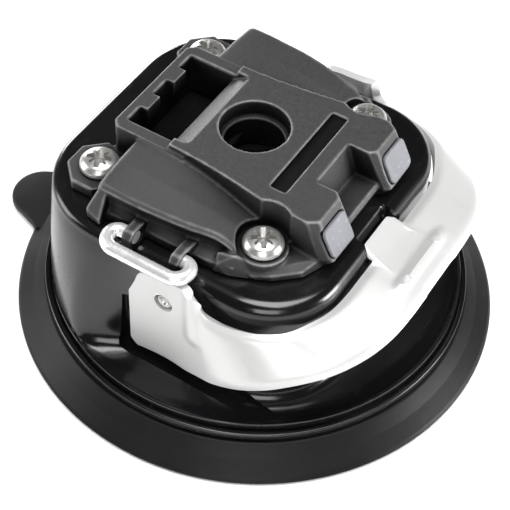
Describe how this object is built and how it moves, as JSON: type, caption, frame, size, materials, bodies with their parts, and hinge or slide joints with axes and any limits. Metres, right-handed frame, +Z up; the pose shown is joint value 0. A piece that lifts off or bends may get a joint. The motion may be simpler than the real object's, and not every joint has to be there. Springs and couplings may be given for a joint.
{
  "type": "suction cup mount base",
  "caption": "Lever-operated suction-cup base with a quick-release mounting block, clamping lever, lanyard ring and rubber cup.",
  "frame": {"origin": "on the cup's axis, in the plane of its sealing rim", "axes": "+Z up the lift post, away from the surface the cup holds; +X towards the lever's handle; +Y along the lever's pin"},
  "size_m": [0.0957, 0.088, 0.0406],
  "materials": {
    "rubber": "satin black moulded rubber",
    "gloss_black": "high gloss",
    "matte_grey": "fine matte moulding texture",
    "pad_grey": "matte",
    "sheet_steel": "satin",
    "bright_steel": "polished",
    "spring_steel": "bright",
    "brass": "turned",
    "nylon": "natural"
  },
  "bodies": {
    "base": {"suction_cup": "rubber", "return_spring": "spring_steel", "guide_bush": "nylon", "base_ring": "gloss_black", "housing": "gloss_black", "mount_plate": "matte_grey", "grip_pad_left": "pad_grey", "grip_pad_right": "pad_grey", "plate_screw_rear_left": "bright_steel", "plate_screw_rear_right": "bright_steel", "plate_screw_front_left": "bright_steel", "plate_screw_front_right": "bright_steel", "screw_insert_rear_left": "brass", "screw_insert_rear_right": "brass", "screw_insert_front_left": "brass", "screw_insert_front_right": "brass"},
    "stem": {"core_disc": "spring_steel", "lift_post": "spring_steel", "spring_seat": "spring_steel", "pivot_pin": "bright_steel", "pin_washer_left": "nylon", "pin_washer_right": "nylon"},
    "lever_arm": {"lever": "sheet_steel"},
    "ring": {"lanyard_ring": "bright_steel"}
  },
  "joints": [
    {"name": "stem_lift", "type": "slide", "parent": "base", "child": "stem", "axis": [0, 0, 1], "range_m": [-0.003, 0], "deforming": ["return_spring", "suction_cup"]},
    {"name": "lever_pivot", "type": "hinge", "parent": "stem", "child": "lever_arm", "pos_m": [0, 0, 0.0256], "axis": [0, 1, 0], "range_deg": [-90, 0]},
    {"name": "ring_swing", "type": "hinge", "parent": "base", "child": "ring", "pos_m": [0, -0.026, 0.0331], "axis": [-1, 0, 0], "range_deg": [0, 90]}
  ],
  "couplings": [
    {"joint": "stem_lift", "follows": "lever_pivot", "m_per_rad": 0.0019098},
    {"joint": "ring_swing", "follows": "lever_pivot", "ratio": -0.9999}
  ]
}
